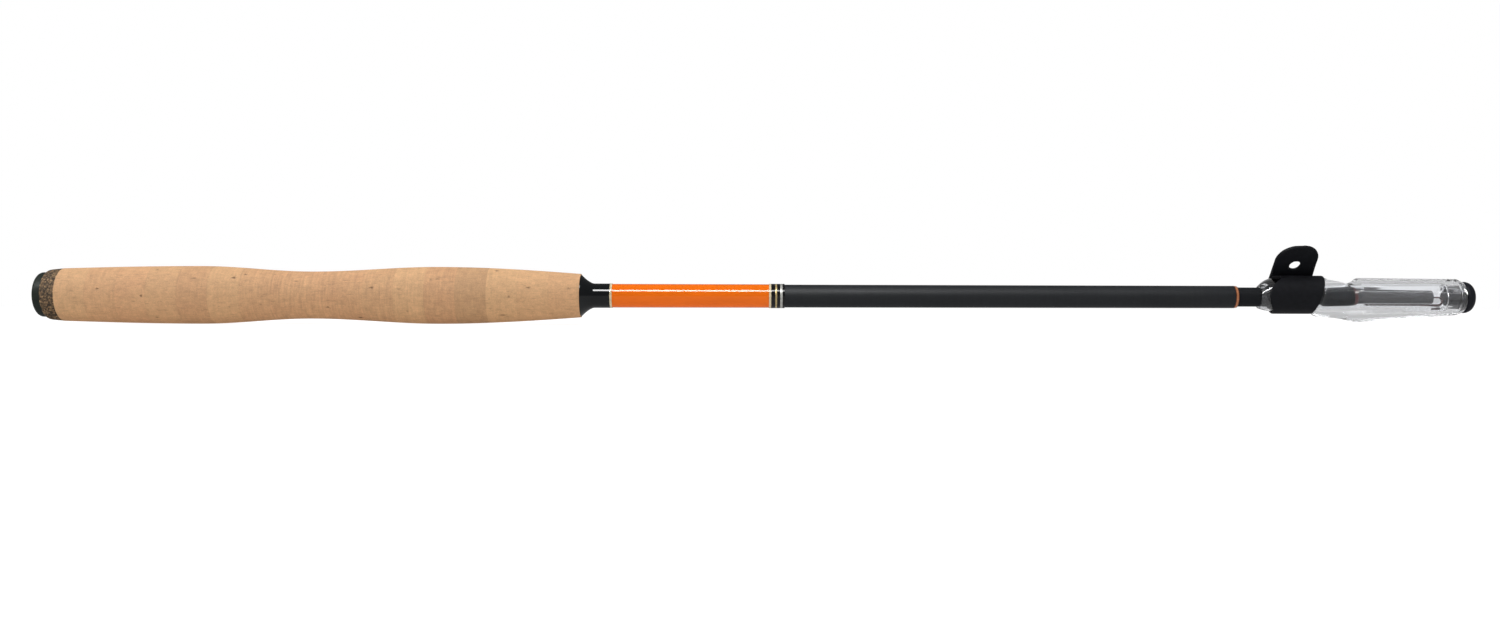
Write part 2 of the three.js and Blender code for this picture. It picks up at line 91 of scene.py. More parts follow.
def surface(name, grid, ring=False, crease=35):
    """A closed mesh on a grid of points. Every row closes round on itself, and the last row joins
    the first if ring is true. A first or last row that is all one point becomes a pole. Faces are
    turned to point out, which they do when the volume they enclose is positive."""
    rows, columns = grid.shape[:2]
    corner = np.arange(rows * columns).reshape(rows, columns)
    for end in (0, -1):
        if not ring and np.allclose(grid[end], grid[end, :1], atol=1e-9):
            corner[end] = corner[end, 0]
    here = corner if ring else corner[:-1]
    there = np.roll(corner, -1, 0) if ring else corner[1:]
    quads = np.stack([here, np.roll(here, -1, 1), np.roll(there, -1, 1), there], -1).reshape(-1, 4)
    points = grid.reshape(-1, 3)
    a, b, c, d = points[quads].transpose(1, 0, 2)
    if np.einsum("ij,ij->", a, np.cross(b, c) + np.cross(c, d)) < 0:
        quads = quads[:, ::-1]
    kept = quads != np.roll(quads, 1, 1)
    used, loops = np.unique(quads[kept], return_inverse=True)
    sizes = kept.sum(1)
    mesh = bpy.data.meshes.new(name)
    mesh.vertices.add(len(used))
    mesh.vertices.foreach_set("co", points[used].astype(np.float32).ravel())
    mesh.loops.add(len(loops))
    mesh.loops.foreach_set("vertex_index", loops.astype(np.int32).ravel())
    mesh.polygons.add(len(sizes))
    mesh.polygons.foreach_set("loop_start", (np.cumsum(sizes) - sizes).astype(np.int32))
    mesh.update(calc_edges=True)
    mesh.shade_smooth()
    mesh.set_sharp_from_angle(angle=math.radians(crease))
    return placed(name, mesh)


def softened(outline, cut, steps=4, ring=True):
    """Rounds the corners of an outline, given as rows of numbers. Each corner gives way to a
    parabola that leaves one side and meets the next at the distance cut from the corner, or at
    0.45 of a side that is too short for that. The ends of an open outline stay."""
    outline = np.asarray(outline, float)
    cut = np.broadcast_to(cut, len(outline))[:, None]
    share = np.linspace(0, 1, steps)[None, :, None]
    sides = [np.roll(outline, turn, 0) - outline for turn in (1, -1)]
    lengths = [np.linalg.norm(side[:, :3], axis=1, keepdims=True) for side in sides]
    starts, ends = [
        outline + side * np.minimum(cut / np.maximum(length, 1e-9), 0.45)
        for side, length in zip(sides, lengths)
    ]
    curve = (
        starts[:, None] * (1 - share) ** 2
        + outline[:, None] * 2 * share * (1 - share)
        + ends[:, None] * share**2
    )
    if ring:
        return curve.reshape(-1, outline.shape[1])
    inner = curve[1:-1].reshape(-1, outline.shape[1])
    return np.vstack([outline[:1], inner, outline[-1:]])


def all_round(sides):
    """The angles of a row of points round the rod, from the top towards the viewer."""
    return np.linspace(0, 2 * np.pi, sides, endpoint=False)[None, :]


def circles(station, radius, angle, height=0.0):
    """A grid of points round the rod: y = -r sin a and z = height + r cos a."""
    return np.stack(np.broadcast_arrays(
        station, -radius * np.sin(angle), height + radius * np.cos(angle),
    ), -1)


def turned(name, outline, sides=128, ring=True, relief=None, crease=35):
    """Turns an outline of (station, radius) rows about the rod's axis.
    relief(station, angle, radius) gives what is added to the radius."""
    angle = all_round(sides)
    station, radius = (np.asarray(outline, float)[:, i, None] for i in (0, 1))
    if relief is not None:
        radius = radius + relief(station, angle, radius)
    return surface(name, circles(station, radius, angle), ring, crease)


def dress(piece, material, body, slot, *nodes):
    """Gives a finished piece its material, the body that it moves with and the nodes that it
    stands for, which is the one of its own name if none is given."""
    piece.data.materials.clear()
    piece.data.materials.append(material)
    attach(piece, body)
    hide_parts(*(nodes or (piece.name.split(".")[0],)))
    return piece


def finish(name, **values):
    """A material whose shader has these values, with spaces for the underscores."""
    made = bpy.data.materials.new(name)
    made.use_nodes = True
    shader = made.node_tree.nodes["Principled BSDF"]
    for key, value in values.items():
        shader.inputs[key.replace("_", " ")].default_value = value
    return made


def node(made, kind, inputs, **settings):
    """Adds a node to a material. An input is a value, or the output socket that feeds it."""
    new = made.node_tree.nodes.new(kind)
    for key, value in settings.items():
        setattr(new, key, value)
    for key, value in inputs.items():
        if isinstance(value, bpy.types.NodeSocket):
            made.node_tree.links.new(value, new.inputs[key])
        else:
            new.inputs[key].default_value = value
    return new


def feed(made, key, socket):
    """Feeds one input of the material's shader."""
    made.node_tree.links.new(socket, made.node_tree.nodes["Principled BSDF"].inputs[key])


def place_on(made):
    """The piece's own coordinates, which are metres in the rod's frame."""
    return node(made, "ShaderNodeTexCoord", {}).outputs["Object"]


def station_on(made):
    """How far along the rod each point of the surface is."""
    return node(made, "ShaderNodeSeparateXYZ", {"Vector": place_on(made)}).outputs["X"]


def worked(made, operation, first, second=0.0):
    """A sum, product or other operation on numbers."""
    return node(made, "ShaderNodeMath", {0: first, 1: second}, operation=operation).outputs[0]


def ranged(made, value, start, end, low=0.0, high=1.0):
    """Goes evenly from low to high while the value goes from start to end, and stays there."""
    return node(made, "ShaderNodeMapRange", {
        "Value": value, "From Min": start, "From Max": end, "To Min": low, "To Max": high,
    }).outputs["Result"]


def grain(made, low, high, along, around, detail=3, roughness=0.55, window=(0.3, 0.7)):
    """Noise between low and high, on the piece's own coordinates. along and around are how many
    features there are to a metre along the rod and across it."""
    scale = (along, around, around)
    stretched = node(made, "ShaderNodeMapping", {"Vector": place_on(made), "Scale": scale})
    noise = node(made, "ShaderNodeTexNoise", {
        "Vector": stretched.outputs["Vector"], "Scale": 1.0, "Detail": detail, "Roughness": roughness,
    })
    return ranged(made, noise.outputs["Fac"], *window, low, high)


def mixed(made, how, share, first, second):
    """Two colours mixed by a share: MIX, MULTIPLY and so on."""
    mix = made.node_tree.nodes.new("ShaderNodeMix")
    mix.data_type = "RGBA"
    mix.blend_type = how
    sockets = mix.inputs["Factor"], mix.inputs[6], mix.inputs[7]
    for socket, value in zip(sockets, (share, first, second)):
        if isinstance(value, bpy.types.NodeSocket):
            made.node_tree.links.new(value, socket)
        else:
            socket.default_value = value
    return mix.outputs[2]


def shaded(made, colour, *levels):
    """A colour multiplied by one or more grey levels."""
    for level in levels:
        colour = mixed(made, "MULTIPLY", 1.0, colour, level)
    return colour


def coloured(made, colour, *levels):
    """Feeds a colour multiplied by grey levels."""
    feed(made, "Base Color", shaded(made, colour, *levels))


def roughened(made, height, depth, key="Normal"):
    """Feeds a bump of that depth in metres, from a height between 0 and 1."""
    bump = node(made, "ShaderNodeBump", {"Height": height, "Distance": depth, "Strength": 1.0})
    feed(made, key, bump.outputs["Normal"])


taper_share = 0.00065
wedge_gap = 0.025 * mm
sharp = 0.001 * mm
wall_of = {
    "butt_section": 0.33 * mm, "section_2": 0.33 * mm, "section_3": 0.3 * mm,
    "section_4": 0.27 * mm, "section_5": 0.25 * mm, "section_6": 0.22 * mm,
}
mouth_ring_on = {"butt_section": "butt_mouth_ring", "section_2": "section_2_mouth_ring"}
drawn = {joint["child"]: joint["range_m"][1] for joint in frame["joints"] if joint["type"] == "slide"}
mouth_radius = {"butt_section": 4.65 * mm}
mouth_at = {name: stations(mouth_ring_on.get(name, name))[1] for name in (*wall_of, "tip_section")}


def outside(name, station):
    """Radius of a section's outside: its mouth's, and the taper from there towards the butt."""
    return mouth_radius[name] + taper_share * (mouth_at[name] - station)


def tube(name, edge=0.08 * mm):
    """A tapered tube with rounded edges, and rings of points close enough to carry the paint."""
    rear, mouth = stations(name)
    rows = 25
    along = np.linspace(rear, mouth, rows)
    skin = np.stack([along, outside(name, along)], 1)
    bore = skin[::-1] - [0, wall_of[name]]
    corners = np.full(2 * rows, sharp)
    corners[[0, rows - 1, rows, -1]] = edge
    return turned(name, softened(np.vstack([skin, bore]), corners), sides=96)


def satin_carbon(name, colour, roughness, gloss):
    """Satin paint over rolled carbon: a fine tooth, and the faint rings that sanding leaves."""
    made = finish(name, Roughness=roughness, IOR=1.45, Specular_IOR_Level=gloss)
    tooth = grain(made, 0.86, 1.16, 2600, 2600, detail=2)
    rings = grain(made, 0.93, 1.07, 900, 40, detail=2)
    cloud = grain(made, 0.9, 1.1, 25, 120)
    coloured(made, colour, tooth, rings, cloud)
    feed(made, "Roughness", grain(made, roughness - 0.05, roughness + 0.06, 60, 300))
    roughened(made, grain(made, 0, 1, 3200, 3200, detail=2), 0.006 * mm)
    return made


charcoal = satin_carbon("satin_charcoal", (0.0145, 0.0165, 0.0195, 1), 0.5, 0.38)
dress(tube("butt_section"), charcoal, "handle", "carbon")


# Mouth ring of the butt section: a ring of filled resin moulded on the end of the tube, which
# keeps it from splitting. It is rounded off towards the bore and painted in metallic copper.
def mouth_ring(name, section):
    """A ring whose outside is a quarter of an ellipse, and whose bore is the tube's."""
    rear, front = stations(name)
    turn = np.linspace(0, np.pi / 2, 24)
    along = rear + (front - rear) * np.sin(turn)
    wall = wall_of[section]
    top = outside(section, along) - 0.8 * wall * (1 - np.cos(turn))
    ends = np.array([front, rear])
    loop = np.vstack([np.stack([along, top], 1), np.stack([ends, outside(section, ends) - wall], 1)])
    return turned(name, loop)


def painted_edge_shade(made, name, colour, edge):
    """Copper with flakes, its colour full in the middle of a ring and painted shade at both edges."""
    across = ranged(made, station_on(made), *stations(name), -1.0, 1.0)
    # Painted shade: the share of the dark edge colour grows towards both ends of the ring.
    edge_shade_share = ranged(made, worked(made, "ABSOLUTE", across), 0.35, 0.8)
    flakes = shaded(made, colour, grain(made, 0.82, 1.18, 5000, 5000, detail=1))
    feed(made, "Base Color", mixed(made, "MIX", edge_shade_share, flakes, edge))


copper = finish("copper_paint", Metallic=0.4, Roughness=0.3)
# The second colour is the painted shade at the ring's edges.
painted_edge_shade(copper, "butt_mouth_ring", (0.62, 0.24, 0.11, 1), (0.1, 0.03, 0.018, 1))
dress(mouth_ring("butt_mouth_ring", "butt_section"), copper, "handle", "copper_paint")


# Thread insert: a turned aluminium bush, knurled outside and glued into the back of the grip.
# The butt cap screws into it, and its step centres it on the butt section.
thread_pitch = 1 * mm
thread_depth = 0.4 * mm
thread_radius = 6 * mm
thread_clearance = 0.15 * mm


def ridge(station, angle, start, end):
    """Height of a right-hand thread from 0 to 1: a rounded triangle wave of the station less the
    share of a turn, run out to nothing over three quarters of a pitch at both ends."""
    turn = (station - start) / thread_pitch - angle / (2 * np.pi)
    wave = np.arcsin(0.96 * np.cos(2 * np.pi * turn)) / np.arcsin(0.96) * 0.5 + 0.5
    run_out = np.minimum(station - start, end - station) / (0.75 * thread_pitch)
    return wave * np.clip(run_out, 0, 1)


def thread_insert():
    """A ring whose bore is threaded up to its collar, and from there fits the tube. The knurl is
    cos(60 a + 4000 x) cos(60 a - 4000 x), two crossing sets of helices."""
    rear, front = stations("thread_insert")
    collar = stations("butt_section")[0] - 0.15 * mm
    bore = thread_radius + thread_clearance
    outer = 7.5 * mm
    seat = outside("butt_section", collar) + 0.1 * mm
    along = np.linspace(rear, collar, 90)
    knurled = np.linspace(front, rear, 60)
    loop = np.vstack([
        np.stack([along, bore + 0 * along], 1),
        [[collar, seat], [front, seat]],
        np.stack([knurled, outer + 0 * knurled], 1),
    ])

    def relief(station, angle, radius):
        thread = 0.05 * mm - ridge(station, angle, rear, collar) * 0.2 * mm
        lift = np.clip(np.minimum(station - rear, front - station) / (0.6 * mm), 0, 1)
        cross = np.cos(angle * 60 + station * 4000) * np.cos(angle * 60 - station * 4000)
        knurl = (cross - 1) * 0.06 * mm * lift
        return np.isclose(radius, bore) * thread + np.isclose(radius, outer) * knurl
    return turned("thread_insert", loop, sides=240, relief=relief)


alloy = finish("turned_alloy", Metallic=1.0, Roughness=0.32, Base_Color=(0.62, 0.63, 0.65, 1))
coloured(alloy, (0.62, 0.63, 0.65, 1), grain(alloy, 0.88, 1.08, 4000, 60))
feed(alloy, "Roughness", grain(alloy, 0.26, 0.4, 4000, 60))
dress(thread_insert(), alloy, "handle", "alloy")


# Burl ring: ground cork bound with black rubber, pressed into a ring that is harder than cork.
# It takes the knocks at the butt, and is glued and sanded together with the rings before it.
glue_gap = 0.1 * mm
insert_radius = 7.5 * mm
burl_rear_radius = 10.4 * mm
burl_front_radius = 11 * mm
burl_skin = 10 * mm
burl_pit = 0.14 * mm


def fitted_bore(rear, front):
    """The bore of a grip ring, front to rear: it clears the insert, and then fits the tube."""
    step = stations("thread_insert")[1] + glue_gap
    over = insert_radius + glue_gap
    fit = [[x, outside("butt_section", x) + glue_gap] for x in (front, max(rear, step))]
    if front <= step:
        return [[front, over], [rear, over]]
    return fit if rear >= step else fit + [[step, over], [rear, over]]


def pits(random, rear, front, radius, count, lengths, widths, depths):
    """Where the pits of a ring lie, and how deep: a function of station and angle. Each pit is
    exp(-(distance / size) cubed), its rim pushed in and out by a ripple, and the deepest counts."""
    at = random.uniform(rear, front, count)
    turn = random.uniform(0, 2 * np.pi, count)
    long = random.uniform(*lengths, count) / 2
    wide = random.uniform(*widths, count) / 2
    deep = random.uniform(*depths, count)
    phase = random.uniform(0, 2 * np.pi, count)

    def depth(station, angle):
        station, angle = np.broadcast_arrays(station, angle)
        along = (station[..., None] - at) / long
        around = (np.mod(angle[..., None] - turn + np.pi, 2 * np.pi) - np.pi) * radius / wide
        bearing = np.arctan2(around, along)
        ripple = 1 + 0.22 * np.sin(3 * bearing + phase) + 0.13 * np.sin(5 * bearing - 2 * phase)
        return (np.exp(-(np.hypot(along, around) / ripple) ** 3) * deep).max(-1)
    return depth


def marked(piece, name, values):
    """Keeps one number per vertex on the mesh, for the material to read."""
    attribute = piece.data.attributes.new(name, "FLOAT", "POINT")
    attribute.data.foreach_set("value", np.asarray(values, np.float32).ravel())


def skin_places(piece):
    """The station of each point of a mesh, and its angle from the top towards the viewer."""
    points = np.zeros(len(piece.data.vertices) * 3)
    piece.data.vertices.foreach_get("co", points)
    station, back, height = points.reshape(-1, 3).T
    return station, np.arctan2(-back, height)


def read(made, name, kind="Fac"):
    """A number or colour that the mesh keeps at its vertices."""
    return node(made, "ShaderNodeAttribute", {}, attribute_name=name).outputs[kind]


def burl_ring():
    """A ring whose outside leans straight from its rear to its front, less a rounding at the rear
    that dies away as exp(-12 share), and less its pits."""
    rear, front = stations("burl_ring")
    share = np.linspace(0, 1, 22)
    along = rear + (front - rear) * share
    lean = burl_rear_radius + (burl_front_radius - burl_rear_radius) * share
    rounding = 0.4 * mm * np.exp(-share * 12)
    loop = np.vstack([np.stack([along, lean - rounding], 1), fitted_bore(rear, front)])
    depth = pits(np.random.default_rng(5), rear, front, 10.6 * mm, 90,
                 (0.4 * mm, 1.2 * mm), (0.4 * mm, 1.1 * mm), (0.03 * mm, burl_pit))

    def relief(station, angle, radius):
        return -depth(station, angle) * (radius > burl_skin)
    piece = turned("burl_ring", loop, sides=256, relief=relief)
    marked(piece, "pit", depth(*skin_places(piece)) / burl_pit)
    return piece


def ground_cork():
    """Chips of cork in black binder: cells that each have a shade, with dark seams between."""
    made = finish("ground_cork", Roughness=0.8, Specular_IOR_Level=0.25)
    place = place_on(made)
    bent = node(made, "ShaderNodeTexNoise", {"Vector": place, "Scale": 900.0}).outputs["Color"]
    spread = node(made, "ShaderNodeVectorMath", {0: bent, "Scale": 0.6 * mm}, operation="SCALE")
    moved = node(made, "ShaderNodeVectorMath", {0: place, 1: spread.outputs[0]})
    chips = node(made, "ShaderNodeTexVoronoi", {"Vector": moved.outputs[0], "Scale": 1350.0})
    shade = node(made, "ShaderNodeSeparateColor", {"Color": chips.outputs["Color"]})
    ramp = node(made, "ShaderNodeValToRGB", {"Fac": shade.outputs["Red"]})
    stops = ramp.color_ramp.elements
    stops[0].color = (0.062, 0.043, 0.026, 1)
    stops[1].color = (0.48, 0.31, 0.15, 1)
    stops.new(0.4).color = (0.185, 0.12, 0.066, 1)
    stops.new(0.85).color = (0.31, 0.187, 0.096, 1)
    seam = ranged(made, chips.outputs["Distance"], 0.25, 0.65, 1.0, 0.45)
    base = shaded(made, ramp.outputs["Color"], seam, grain(made, 0.8, 1.2, 3500, 3500))
    feed(made, "Base Color", mixed(made, "MIX", read(made, "pit"), base, (0.018, 0.016, 0.013, 1)))
    roughened(made, chips.outputs["Distance"], 0.05 * mm)
    return made


dress(burl_ring(), ground_cork(), "handle", "burl_cork")


# Cork rings: seventeen half-inch rings of flor grade cork, glued end to end on the tube, turned
# on a lathe to two swells with a waist between them, and sanded smooth. Nothing seals the cork.
cork_count = 17
cork_steps = 44
cork_sides = 240
cork_skin = 8.2 * mm
cork_dark_pit = 0.17 * mm
joint_width = 0.2 * mm
palm_share = 0.266
waist_share = 0.48
thumb_share = 0.723
grip_radii = np.array([11, 12.05, 9.85, 11.88, 9.1]) * mm
cork_names = [f"cork_ring_{number + 1:02d}" for number in range(cork_count)]
grip_rear = stations(cork_names[0])[0]
grip_front = stations(cork_names[-1])[1]


def grip_radius(station):
    """The grip's outline: a quarter wave up to the palm swell, half waves down to the waist and
    up to the thumb swell, and a quarter wave down to the front."""
    rear, palm, waist, thumb, front = grip_radii
    share = (station - grip_rear) / (grip_front - grip_rear)

    def wave(start, end):
        """Goes from 0 to pi over one stretch of the grip."""
        return np.clip((share - start) / (end - start), 0, 1) * np.pi
    rise = np.sin(wave(0, palm_share) / 2)
    hollow = (1 - np.cos(wave(palm_share, waist_share))) / 2
    swell = (1 - np.cos(wave(waist_share, thumb_share))) / 2
    fall = 1 - np.cos(wave(thumb_share, 1) / 2)
    return (rear + (palm - rear) * rise + (waist - palm) * hollow + (thumb - waist) * swell
            - (thumb - front) * fall)


def cork_ring(name, number):
    """A slice of the grip, less small and large pits. Its points keep how deep they lie in a pit,
    and exp(-(distance from the joint / joint_width) squared)."""
    random = np.random.default_rng(40 + number)
    rear, front = stations(name)
    along = np.linspace(rear, front, cork_steps)
    loop = np.vstack([np.stack([along, grip_radius(along)], 1), fitted_bore(rear, front)])
    middle = grip_radius((rear + front) / 2)
    small = pits(random, rear, front, middle, 28,
                 (0.5 * mm, 2.8 * mm), (0.3 * mm, 0.6 * mm), (0.015 * mm, 0.06 * mm))
    large = pits(random, rear + 1 * mm, front - 1 * mm, middle, 3,
                 (0.8 * mm, 2.2 * mm), (0.5 * mm, 0.9 * mm), (0.07 * mm, 0.22 * mm))

    def depth(station, angle):
        return np.maximum(small(station, angle), large(station, angle))

    def relief(station, angle, radius):
        return -depth(station, angle) * (radius > cork_skin)
    piece = turned(name, loop, sides=cork_sides, relief=relief)
    station, angle = skin_places(piece)
    marked(piece, "pit", np.clip(depth(station, angle) / cork_dark_pit, 0, 1))
    seam = np.minimum(station - rear, front - station)
    marked(piece, "seam", np.exp(-((seam / joint_width) ** 2)))
    return piece


def sanded_cork():
    """Cork: a tan whose tone each ring keeps, clouds of pink and of straw, fine grain, growth
    lines across the rod, short dashes along it, and dark lenticels in the pits."""
    made = finish("sanded_cork", Roughness=0.82, Specular_IOR_Level=0.35)
    straw = (0.66, 0.395, 0.2, 1)
    pink = (0.61, 0.32, 0.165, 1)
    cloud = grain(made, 0.0, 1.0, 70, 110, detail=4)
    pinkness = read(made, "pink")
    blush = worked(made, "ADD", worked(made, "MULTIPLY", cloud, pinkness), pinkness)
    base = mixed(made, "MIX", blush, straw, pink)
    lines = mixed(made, "MIX", read(made, "lines"), (1, 1, 1, 1), grain(made, 0.84, 1.08, 1300, 90))
    dashes = grain(made, 0.93, 1.06, 260, 1500)
    base = shaded(made, base, read(made, "shade"), lines, dashes,
                  grain(made, 0.92, 1.07, 420, 420), grain(made, 0.9, 1.1, 2200, 2200))
    fleck = grain(made, 0.0, 0.3, 380, 1700, detail=2, window=(0.62, 0.72))
    base = mixed(made, "MIX", fleck, base, (0.33, 0.185, 0.09, 1))
    base = shaded(made, base, ranged(made, read(made, "seam"), 0.0, 1.0, 1.0, 0.94))
    feed(made, "Base Color", mixed(made, "MIX", read(made, "pit"), base, (0.16, 0.085, 0.04, 1)))
    roughened(made, grain(made, 0, 1, 1500, 1900, detail=4), 0.05 * mm)
    return made


cork = sanded_cork()
dark_ring = 13
lined_rings = range(6, 13)
cut = np.random.default_rng(9)
for number, name in enumerate(cork_names):
    cork_piece = cork_ring(name, number)
    tones = {
        "shade": cut.uniform(0.97, 1.04) - 0.13 * (number == dark_ring),
        "pink": cut.uniform(0.0, 0.35),
        "lines": cut.uniform(0.1, 0.5) + 0.5 * (number in lined_rings),
    }
    for tone, value in tones.items():
        marked(cork_piece, tone, np.full(len(cork_piece.data.vertices), value))
    dress(cork_piece, cork, "handle", "cork")


# Winding check: a trumpet of polished black aluminium, slid down the tube against the last cork
# ring to hide the end of the glue, and coated with the trim.
sleeve_gap = 0.03 * mm
check_wall = 0.24 * mm
check_rear_radius = 8.9 * mm
check_flare = 5.5 * mm
flare_power = 1.55


def winding_check():
    """A sleeve that flares to the rear by (1 - share) to a power, less a lip that is rounded as
    exp(-(distance / 0.18 mm) squared)."""
    rear, front = stations("winding_check")
    along = rear + (front - rear) * np.linspace(0, 1, 90) ** 1.4
    throat = outside("butt_section", along) + sleeve_gap + check_wall
    share = np.clip((along - rear) / check_flare, 0, 1)
    flare = throat + (check_rear_radius - throat) * (1 - share) ** flare_power
    lip = 0.25 * mm * np.exp(-((along - rear) / (0.18 * mm)) ** 2)
    bore = outside("butt_section", along[[-1, 0]]) + sleeve_gap
    loop = np.vstack([np.stack([along, flare - lip], 1), np.stack([along[[-1, 0]], bore], 1)])
    return turned("winding_check", loop, sides=160)


def clear_coated(name, colour, **more):
    """A colour under a coat of epoxy, which has levelled almost flat."""
    made = finish(name, Roughness=0.4, Specular_IOR_Level=0.0, Coat_Weight=1.0, Coat_Roughness=0.03,
                  Coat_IOR=1.5, **more)
    coloured(made, colour, grain(made, 0.94, 1.06, 60, 200))
    roughened(made, grain(made, 0, 1, 90, 260, detail=1), 0.02 * mm, "Coat Normal")
    return made


polished_black = clear_coated("polished_black", (0.006, 0.007, 0.008, 1))
dress(winding_check(), polished_black, "handle", "gloss_black")


# Trim between the check and the bare tube: a cream line, the orange lacquered band, and six
# wraps of thread. All of it lies under the same epoxy, and the band is left plain.
thread_width = 0.15 * mm
rib_depth = 0.008 * mm
trim_wall = 0.3 * mm
lacquer_wall = 0.08 * mm


def sleeve(name, wall, crown, threads=False):
    """A sleeve on the tube, swelling by crown to its middle; threads adds the ribs of a wrap."""
    rear, front = stations(name)
    if threads:
        rows = 24 * max(int(round((front - rear) / thread_width)), 3) + 1
    else:
        rows = 37
    share = np.linspace(0, 1, rows)
    along = rear + (front - rear) * share
    fit = outside("butt_section", along) + sleeve_gap
    top = fit + wall + crown * (1 - (2 * share - 1) ** 4) - crown
    if threads:
        top = top - rib_depth * (1 - np.abs(np.sin(np.pi * (along - rear) / thread_width)))
    loop = np.vstack([np.stack([along, top], 1), [[front, fit[-1]], [rear, fit[0]]]])
    return turned(name, loop, sides=112)


def thread_wrap(name, colour, **more):
    """Thread laid turn by turn under epoxy, with painted highlight and painted shade on every other
    turn. A wave texture of scale 1 repeats every 0.314 m, and here once for two threads."""
    wave_length = 0.314
    made = finish(name, Roughness=0.35, Coat_Weight=1.0, Coat_Roughness=0.04, Coat_IOR=1.5, **more)
    painted_turn_shade = node(made, "ShaderNodeTexWave", {
        "Vector": place_on(made), "Scale": wave_length / (2 * thread_width), "Distortion": 0.0,
    }, bands_direction="X")
    # Painted highlight and shade: the wave lightens and darkens the colour turn by turn.
    level = ranged(made, painted_turn_shade.outputs["Fac"], 0.0, 1.0, 0.7, 1.12)
    coloured(made, colour, level, grain(made, 0.85, 1.1, 300, 900))
    return made


cream = thread_wrap("cream_thread", (0.80, 0.68, 0.45, 1), Specular_IOR_Level=0.0)
gold = thread_wrap("gold_thread", (0.62, 0.47, 0.2, 1), Metallic=0.4)
silver = thread_wrap("silver_thread", (0.62, 0.62, 0.58, 1), Metallic=0.4)
black_thread = thread_wrap("black_thread", (0.008, 0.008, 0.009, 1), Specular_IOR_Level=0.0)
orange = clear_coated("orange_lacquer", (0.93, 0.17, 0.004, 1))
dress(sleeve("check_line", trim_wall, 0.05 * mm), cream, "handle", "cream_trim")
dress(sleeve("lacquer_band", lacquer_wall, 0), orange, "handle", "orange_lacquer")
for name, thread, trim_slot in (
    ("wrap_cream", cream, "cream_trim"),
    ("wrap_black_wide", black_thread, "gloss_black"),
    ("wrap_gold", gold, "gold_trim"),
    ("wrap_black_middle", black_thread, "gloss_black"),
    ("wrap_silver", silver, "silver_trim"),
    ("wrap_black_narrow", black_thread, "gloss_black"),
):
    dress(sleeve(name, trim_wall, 0.03 * mm, threads=True), thread, "handle", trim_slot)


# Sections 2 to 6: finer carbon tubes, each slid into the mouth of the one before from its butt.
# Drawn out, a section wedges where its outside has grown to the bore of the one round it.
section_bodies = {
    "section_2": "second", "section_3": "third", "section_4": "fourth",
    "section_5": "fifth", "section_6": "sixth", "tip_section": "tip",
}
outer = "butt_section"
bearing_of = {}
for inner, body in section_bodies.items():
    section_rear = stations(inner)[0]
    bearing_of[inner] = mouth_at[outer] - section_rear - drawn[body]
    mouth_radius[inner] = (
        mouth_radius[outer] - wall_of[outer] - wedge_gap
        - taper_share * (mouth_at[inner] - section_rear - bearing_of[inner])
    )
    outer = inner

dull_carbon = satin_carbon("dull_carbon", (0.0125, 0.0135, 0.0155, 1), 0.45, 0.1)
gloss_carbon = satin_carbon("gloss_carbon", (0.02, 0.021, 0.024, 1), 0.42, 0.6)
for inner in list(section_bodies)[:-1]:
    section_finish = dull_carbon if inner == "section_2" else gloss_carbon
    dress(tube(inner), section_finish, section_bodies[inner], "carbon_gloss")

maroon = finish("maroon_paint", Roughness=0.3)
coloured(maroon, (0.075, 0.01, 0.012, 1), grain(maroon, 0.8, 1.2, 5000, 5000))
dress(mouth_ring("section_2_mouth_ring", "section_2"), maroon, "second", "maroon_paint")


# Tip: the last section, of solid fibre ground to a long taper, with a small black sleeve that
# holds the braided cord which the line is tied to.
tip_end_radius = 0.5 * mm
tip_rear, tip_mouth = stations("tip_section")
bearing_end = tip_rear + bearing_of["tip_section"]


def tip_radius(station):
    """Radius of the tip past its bearing: a straight taper down to its end."""
    share = (tip_mouth - station) / (tip_mouth - bearing_end)
    return tip_end_radius + (outside("tip_section", bearing_end) - tip_end_radius) * share


def tip_section():
    """A solid with the shared taper over its bearing, and from there its own straight taper."""
    bearing = np.linspace(tip_rear, bearing_end, 5)
    fine = np.linspace(bearing_end, tip_mouth, 40)[1:]
    line = np.vstack([
        [[tip_rear, 0]],
        np.stack([bearing, outside("tip_section", bearing)], 1),
        np.stack([fine, tip_radius(fine)], 1),
        [[tip_mouth, 0]],
    ])
    cut = np.full(len(line), sharp)
    cut[[1, -2]] = 0.12 * mm
    return turned("tip_section", softened(line, cut, ring=False), sides=48, ring=False)


def lillian_sleeve():
    """A short tube over the tip's end, which widens to the rear as the tip does."""
    rear, front = stations("lillian_sleeve")
    spread = tip_radius(rear) - tip_end_radius
    bore = tip_end_radius + 0.01 * mm
    wall = 0.25 * mm
    loop = [[rear, bore + spread], [rear, bore + spread + wall], [front, bore + wall], [front, bore]]
    return turned("lillian_sleeve", softened(loop, 0.07 * mm), sides=64)


black_sleeve = satin_carbon("black_sleeve", (0.012, 0.012, 0.014, 1), 0.3, 0.3)
dress(tip_section(), gloss_carbon, "tip", "carbon_gloss")
dress(lillian_sleeve(), black_sleeve, "tip", "black_metal")


# Lillian: a dark red braided cord, 37 mm long, glued into the sleeve. With the rod collapsed it is
# folded back once between the sections and the clear cap. A knot keeps its end from fraying.
lillian_radius = 0.45 * mm
lillian_route = np.array([
    [581.5, 0, 0],
    [582.1, 0, 0],
    [582.7, 0, 0],
    [583.27, 0, 0],
    [584.03, 0.01, -0.15],
    [584.67, 0.02, -0.58],
    [585.1, 0.04, -1.22],
    [585.25, 0.06, -1.98],
    [585.1, 0.08, -2.74],
    [584.67, 0.1, -3.38],
    [584.03, 0.12, -3.81],
    [583.27, 0.14, -3.96],
    [582.3, 0.16, -3.98],
    [580.5, 0.2, -3.98],
    [577, 0.25, -3.98],
    [573, 0.27, -4],
    [569, 0.22, -4.02],
    [565, 0.12, -4.03],
    [561, 0, -4.03],
    [558, -0.08, -4.02],
    [556, -0.1, -4.01],
    [554.5, -0.1, -4],
]) * mm


